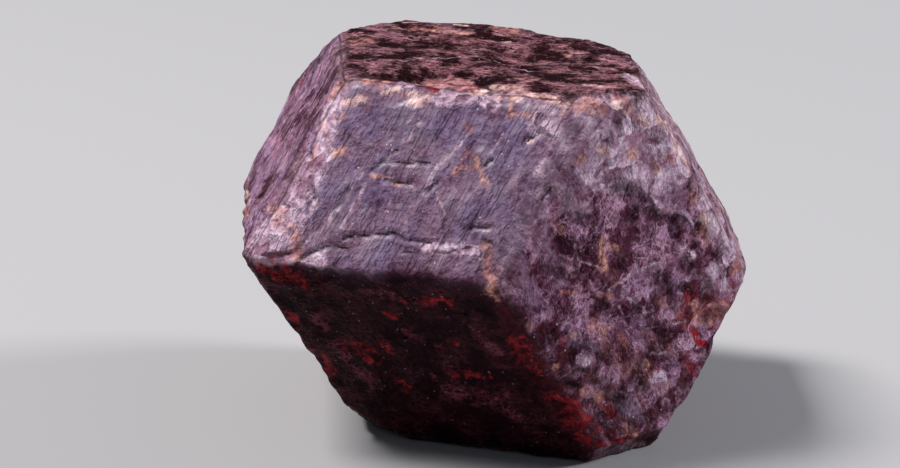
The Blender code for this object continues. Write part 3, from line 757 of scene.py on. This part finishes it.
# The skin's patterns. A noise has its scale per mm, detail and roughness. One drawn out along the growth has
# its scales across and along, then detail, roughness and distortion.
skin = {
    "clouds": (0.16, 2.0, 0.55), "mottle": (0.5, 5.0, 0.64), "grain": (3.0, 1.6, 0.6),
    "lumps": (0.8, 3.0, 0.62), "ragged": (1.6, 5.0, 0.66),
    "wisps": (1.5, 2.5, 0.6), "hairlines": (0.8, 4.0, 0.6), "coolness": (0.33, 4.0, 0.6),
    "streaks": ((2.0, 0.20), 2.2, 0.6, 0.4), "hairs": ((5.0, 0.5), 1.5, 0.5, 0.3),
    "scratches": ((3.0, 0.20), 1.0, 0.5, 0.0),
    "warp": (0.9, 4.0, 0.6), "veinWarp": 2.2, "chipWarp": 0.7, "scratchWarp": (0.35, 1.0, 0.0),
    # the cells of the pale dots painted as glints are set here too
    "veins": 0.55, "paintedGlints": 2.2,  # cells per mm
    "chips": ((0.5, 0.8), (1.4, 0.8)),  # cells per mm and weight
    "seam": (0.015, 0.07),  # width of the seams between chips: the least, and more by weight
    "spare": 0.75,  # how far slate stays unbroken
    "crackle": 0.42,  # how strong veins are there
    "unevenness": {"mottle": 2.8, "clouds": 1.2, "grain": 1.2, "streaks": 1.2, "hairs": 2.2, "chips": 0.6},
    "crispness": 0.7,  # how much sharper colours change where the stone is broken
    "bumps": {"lumps": 0.5, "grain": 0.17, "scratches": 0.12, "streaks": 0.08, "veins": 0.05, "chips": 1.25},
    "creases": (0.12, 4.0, 0.2),  # how wide the streaks' creases are, their slope and their middle height
    "cavity": {"lumps": 0.5, "grain": 0.5, "chips": 0.8, "streaks": 0.1},  # what counts for shade in hollows
    "roughness": 0.5, "gloss": 0.05, "satin": 0.36, "satinIndex": 1.5,
    "shine": {"plain": 0.55, "mottle": 1.5, "scratches": 0.5},  # times a face's sheen
}

# Where masks made from the patterns start and end
masks = {
    "film": (0.1, 0.95), "cool": (0.4, 0.62), "rim": (0.1, 1.0),
    "crackle": (-0.6, 0.8), "chalk": (-0.5, 0.8), "slate": (-0.4, 0.5),
    "scratch": (0.03, 0.13), "scratched": (0.46, 0.62), "groove": (0.60, 0.70),
    "vein": (0.01, 0.05), "veined": (0.42, 0.6), "thread": (0.015, 0.06), "threaded": (0.42, 0.55),
    # size and chance of the pale dots painted as glints are set here too
    "paintedGlint": (0.07, 0.16), "glintChance": (0.66, 0.72), "paleWisp": (0.57, 0.64), "darkWisp": (0.57, 0.66),
    # worn edges: partly wear and partly a painted highlight
    "paleSeam": (0.45, 0.55), "darkSeam": (0.40, 0.5), "wornFilm": (-0.15, 0.3), "worn": (0.2, 0.8),
    "lively": (0.3, 0.7), "patch": (0.25, 0.6), "cavity": (0.2, 0.7),
}

tones = {
    # cool: the film's turn to blue-grey, partly its own tint and partly a painted sheen
    "cool": (0.78, 0.88, 1.08), "scratch": (1.45, 1.65, 1.45), "pale": (1.8, 2.1, 1.9),  # times the film
    "groove": (0.4, 0.3, 0.3), "dark": (0.3, 0.2, 0.2),  # times the stone
    # the pale dots' colour is a painted glint
    # worn: pale edges, partly wear and partly a painted highlight
    "crack": (0.015, 0.001, 0.004, 1), "paintedGlint": (0.62, 0.52, 0.52, 1), "worn": (0.52, 0.36, 0.42, 1),
    "hollow": (0.55, 0.38, 0.45), "open": (0.7, 0.87, 0.8),  # the shade in hollows, and more outside them
    "swings": (0.9, 1.3, 1.3),  # how far uneven patches vary in each channel
}

# How much each of these covers what is under it
strengths = {
    "scratches": 0.75, "grooves": 0.3, "veins": 0.8, "paleWisps": 0.3, "threads": 0.8, "darkWisps": 0.7,
    # how strongly the pale dots painted as glints show is set here too
    # worn: partly wear and partly a painted highlight
    "paleSeams": 0.95, "darkSeams": 0.7, "worn": 0.6, "paintedGlints": 0.25, "fewestGlints": 0.3,
}

# How each kind of patch looks: colour, how uneven that is, how far past its strokes it spreads, how ragged
# its edge is, how soft, how much it covers. They go on in this order.
patches = {
    "tan": ((0.25, 0.10, 0.10), 0.8, 0.3, 2.2, 1.5, 0.7),
    "wine": ((0.042, 0.005, 0.009), 1.0, 0.45, 2.2, 1.0, 0.92),
    "chalk": ((0.60, 0.44, 0.555), 0.3, 1.2, 1.5, 1.2, 0.95),
    # slate: partly worn film and partly a painted sheen, like the upper left face's film
    "slate": ((0.205, 0.115, 0.18), 0.5, 0.3, 1.6, 1.2, 0.8),
    "dusk": ((0.135, 0.10, 0.155), 0.6, 0.3, 2.0, 1.2, 0.6),
    "window": ((0.026, 0.003, 0.010), 1.0, 0.3, 2.0, 0.8, 0.8),
    "blood": ((0.185, 0.011, 0.015), 1.6, 0.9, 4.6, 2.0, 0.82),
    "scar": ((0.50, 0.23, 0.23), 0.6, 0.6, 1.6, 1.0, 0.85),
    "cream": ((0.66, 0.42, 0.38), 0.8, 0.8, 2.0, 1.4, 0.85),
    "rust": ((0.50, 0.225, 0.18), 1.0, 0.8, 2.4, 1.8, 0.78),
    "thread": ((0.56, 0.40, 0.48), 0.5, 0.2, 1.0, 1.0, 0.7),
    "glass": ((0.24, 0.003, 0.005), 0.6, 0.2, 0.8, 0.4, 1.0),
    "cleft": ((0.006, 0.002, 0.003), 0.5, 0.0, 1.0, 0.7, 0.85),
}


def masked(pattern, name):
    return pattern.step(*masks[name])


def stored(g, name, out="Fac"):
    return g.node("ShaderNodeAttribute", {"attribute_name": name}, {}, out)


def drawnOut(g, growth, stretch, detail, rough, bend):
    return g.noise(growth.times((*stretch, 1.0)), 1.0, detail, rough, bend)


# The patterns that colour and bump share, with the looks of each place
def skinPatterns(g):
    p = SimpleNamespace()
    p.place = g.node("ShaderNodeTexCoord", {}, {}, "Object").times((1 / mm, 1 / mm, 1 / mm))
    growth = stored(g, "growth", "Vector")
    p.cover, p.blotches = stored(g, "cover"), stored(g, "blotches")
    p.sheen, p.cool = stored(g, "sheen"), stored(g, "cool")
    p.deep, p.film = stored(g, "deep", "Color"), stored(g, "film", "Color")
    p.veins = stored(g, "veins").top(masked(stored(g, "crackle"), "crackle") * skin["crackle"])
    p.streaks = stored(g, "streaks") * masked(stored(g, "rim"), "rim")  # the growth turns at rims
    unbroken = skin["spare"] * masked(stored(g, "slate"), "slate")
    p.broken = p.veins.top(masked(stored(g, "chalk"), "chalk")) * (1.0 - unbroken)

    p.clouds, p.mottle, p.grain, p.ragged = (
        g.noise(p.place, *skin[name]) for name in ("clouds", "mottle", "grain", "ragged"))
    warp = g.noise(p.place, *skin["warp"], out="Color")
    p.warped = g.vector("MULTIPLY_ADD", warp, (skin["veinWarp"],) * 3, p.place)
    p.bent = g.vector("MULTIPLY_ADD", warp, (skin["chipWarp"],) * 3, p.place)
    p.lumps = g.noise(p.bent, *skin["lumps"])
    p.streak, p.hair = drawnOut(g, growth, *skin["streaks"]), drawnOut(g, growth, *skin["hairs"])
    leaning = g.vector("MULTIPLY_ADD", warp, skin["scratchWarp"], growth)
    scratched = drawnOut(g, leaning, *skin["scratches"])
    p.scratch = (1.0 - masked(scratched.offMiddle(), "scratch")) * masked(p.mottle, "scratched")
    p.groove = masked(1.0 - scratched, "groove")
    edges = 1.0 - masked(g.cells(p.warped, skin["veins"], "DISTANCE_TO_EDGE"), "vein")
    hairlines = 1.0 - masked(g.noise(p.warped, *skin["hairlines"]).offMiddle(), "vein")
    p.vein = edges.top(hairlines) * masked(p.mottle, "veined") * p.veins
    addChips(g, p)
    return p


# Tilted chips of broken stone: their height, their odd colours and the seams between them
def addChips(g, p):
    p.chips, p.odds, p.seams = 0.0, 0.0, 0.0
    least, more = skin["seam"]
    for scale, weight in skin["chips"]:
        colour = g.cells(p.bent, scale).twin("Color")
        lean = g.vector("SUBTRACT", colour, (0.5, 0.5, 0.5))
        away = g.vector("SUBTRACT", p.bent, colour.twin("Position"))
        p.chips = p.chips + g.vector("DOT_PRODUCT", away, lean) * weight
        odd = g.node("ShaderNodeSeparateColor", {}, {"Color": colour}, "Green") - 0.5
        p.odds = p.odds + odd * weight * skin["unevenness"]["chips"]
        apart = g.cells(p.bent, scale, "DISTANCE_TO_EDGE") / scale
        p.seams = (1.0 - apart.step(least, least + more * weight)).top(p.seams)


# The stone, the film over it, and the scratches, veins, wisps and seams in them
def stoneColour(g, p):
    weight = skin["unevenness"]
    uneven = (p.mottle - 0.5) * weight["mottle"] + (p.clouds - 0.5) * weight["clouds"]
    uneven = uneven + (p.grain - 0.5) * weight["grain"]
    drawn = (p.streak - 0.5) * weight["streaks"] + (p.hair - 0.5) * weight["hairs"]
    uneven = uneven + drawn * p.streaks + p.odds * p.broken
    amount = (p.cover + uneven * p.blotches - 0.5) * (1.0 + p.broken * skin["crispness"]) + 0.5
    # How far the film turns blue-grey: partly its own tint, partly a painted sheen
    coolness = masked(g.noise(p.place, *skin["coolness"]), "cool") * p.cool
    film = p.film.tint(p.film.times(tones["cool"]), coolness)
    pale = film.times(tones["pale"])
    # Film over the stone; where it is scant, on the top and the faces turned down, the near-black stone is
    # partly painted shade
    colour = p.deep.tint(film, masked(amount, "film"))
    colour = colour.tint(film.times(tones["scratch"]), p.scratch * p.streaks * strengths["scratches"])
    colour = colour.tint(p.deep.times(tones["groove"]), p.groove * p.streaks * strengths["grooves"])
    colour = colour.tint(pale, p.vein * strengths["veins"])
    wisp = g.noise(p.warped, *skin["wisps"])
    thread = (1.0 - masked(wisp.offMiddle(), "thread")) * p.broken * masked(p.mottle, "threaded")
    colour = colour.tint(pale, masked(wisp, "paleWisp") * p.broken * strengths["paleWisps"])
    colour = colour.tint(pale, thread * strengths["threads"])
    darkWisp = masked(1.0 - wisp, "darkWisp") * p.broken
    colour = colour.tint(p.deep.times(tones["dark"]), darkWisp * strengths["darkWisps"])
    seams = p.seams * p.broken
    colour = colour.tint(pale, seams * masked(p.mottle, "paleSeam") * strengths["paleSeams"])
    darkSeams = seams * (1.0 - masked(p.mottle, "darkSeam"))
    return colour.tint(tones["crack"], darkSeams * strengths["darkSeams"])


# Worn edges, partly a painted highlight, then every kind of patch, then pale dots painted as glints
def patchColour(g, p, colour):
    lively = masked(p.ragged, "lively") - 0.5
    # Pale edges on the bevels of faces with film: partly wear, partly a painted highlight
    worn = stored(g, "cut") * masked(p.cover, "wornFilm") * masked(p.ragged, "worn")
    colour = colour.tint(tones["worn"], worn * strengths["worn"])
    for name, (tone, liveliness, spread, jitter, soft, most) in patches.items():
        near = stored(g, name) + spread + (p.ragged - 0.5) * jitter + (p.grain - 0.5) * jitter * 0.5
        swings = {axis: 1.0 + lively * liveliness * swing for axis, swing in zip("XYZ", tones["swings"])}
        varied = g.node("ShaderNodeCombineXYZ", {}, swings).times(tone)
        colour = colour.tint(varied, near.step(0.0, soft) * masked(p.ragged, "patch") * most)
    # Pale dots painted as glints
    cell = g.cells(p.place, skin["paintedGlints"])
    chance = g.node("ShaderNodeSeparateColor", {}, {"Color": cell.twin("Color")}, "Red")
    paintedGlints = (1.0 - masked(cell, "paintedGlint")) * masked(chance, "glintChance")
    amount = (strengths["paintedGlints"] + p.cover).top(strengths["fewestGlints"])
    return colour.tint(tones["paintedGlint"], paintedGlints * amount)


def garnetSurface():
    material = bpy.data.materials.new("garnet surface")
    material.use_nodes = True
    material.node_tree.nodes.clear()
    g = Wire(material.node_tree)
    p = skinPatterns(g)
    colour = patchColour(g, p, stoneColour(g, p))

    crease, slope, middle = skin["creases"]
    creases = g.math("ABSOLUTE", p.streak - 0.5).low(crease) * slope
    bump, part = skin["bumps"], skin["cavity"]
    height = p.lumps * bump["lumps"] + p.grain * bump["grain"] + creases * p.streaks * bump["streaks"]
    height = height + p.chips * p.broken * bump["chips"]
    height = height + (p.scratch - p.groove) * p.streaks * bump["scratches"] + p.vein * bump["veins"]
    normal = g.node("ShaderNodeBump", {}, {"Strength": 1.0, "Distance": mm, "Height": height})

    cavity = p.lumps * part["lumps"] + p.grain * part["grain"] + p.chips * p.broken * part["chips"]
    cavity = masked(cavity + (creases - middle) * p.streaks * part["streaks"], "cavity")
    shade = {axis: dark + more * cavity for axis, dark, more in zip("XYZ", tones["hollow"], tones["open"])}
    colour = g.node("ShaderNodeCombineXYZ", {}, shade).times(colour)

    shine = skin["shine"]
    coat = p.sheen * (shine["plain"] + (p.mottle - 0.5) * shine["mottle"] + p.scratch * shine["scratches"])
    sockets = {
        "Base Color": colour, "Roughness": skin["roughness"], "Specular IOR Level": skin["gloss"],
        "Coat Weight": coat.step(0.0, 1.0), "Coat Roughness": skin["satin"], "Coat IOR": skin["satinIndex"],
        "Normal": normal,
    }
    shader = g.node("ShaderNodeBsdfPrincipled", {}, sockets)
    g.node("ShaderNodeOutputMaterial", {}, {"Surface": shader}, None)
    return material


studio = {
    "floorSize": 4.0,
    "floorColour": (0.42, 0.42, 0.43, 1),
    "floorRoughness": 0.9,
    "ambient": (0.80, 0.86, 1.0, 1),
    "ambientStrength": 0.16,
    # towards the lamp from the crystal, distance in metres, size in metres, power in watts, colour
    "lamps": {
        "key": ((-0.45, 0.25, 0.85), 0.70, 0.22, 6.3, (1.0, 0.96, 0.95)),
        "side": ((0.85, -0.45, 0.45), 0.80, 0.18, 4.8, (0.96, 0.97, 1.0)),
    },
}


def layFloor():
    sheet = bmesh.new()
    bmesh.ops.create_grid(sheet, x_segments=1, y_segments=1, size=studio["floorSize"] / 2)
    mesh = bpy.data.meshes.new("floor")
    sheet.to_mesh(mesh)
    sheet.free()
    floor = bpy.data.objects.new("floor", mesh)
    bpy.context.scene.collection.objects.link(floor)
    paper = bpy.data.materials.new("floor paper")
    paper.use_nodes = True
    shader = paper.node_tree.nodes["Principled BSDF"]
    shader.inputs["Base Color"].default_value = studio["floorColour"]
    shader.inputs["Roughness"].default_value = studio["floorRoughness"]
    mesh.materials.append(paper)


def lightStudio(middle):
    for name, (towards, distance, size, power, colour) in studio["lamps"].items():
        lamp = bpy.data.lights.new(name, "AREA")
        lamp.size, lamp.energy, lamp.color = size, power, colour
        holder = bpy.data.objects.new(name, lamp)
        bpy.context.scene.collection.objects.link(holder)
        holder.location = middle + Vector(towards).normalized() * distance
        holder.rotation_euler = Vector(towards).to_track_quat("Z", "Y").to_euler()
    world = bpy.data.worlds.new("studio")
    bpy.context.scene.world = world
    world.use_nodes = True
    background = world.node_tree.nodes["Background"]
    background.inputs["Color"].default_value = studio["ambient"]
    background.inputs["Strength"].default_value = studio["ambientStrength"]


def placeCamera(middle):
    place, *axes = cameraPose(middle)
    lens = bpy.data.cameras.new("camera")
    lens.lens, lens.sensor_width, lens.clip_start = view["lens"], view["sensor"], view["nearest"]
    camera = bpy.data.objects.new("camera", lens)
    bpy.context.scene.collection.objects.link(camera)
    camera.matrix_world = Matrix.Translation(place) @ Matrix(axes).transposed().to_4x4()
    bpy.context.scene.camera = camera


middle = Vector((*crystal["centre"], centreHeight)) * mm
placeCamera(middle)
layFloor()
lightStudio(middle)
bpy.context.scene.view_settings.view_transform = "Standard"
garnet = growCrystal(garnetSurface())
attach(garnet, "root")
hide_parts("garnet_crystal")
print("garnet placed")
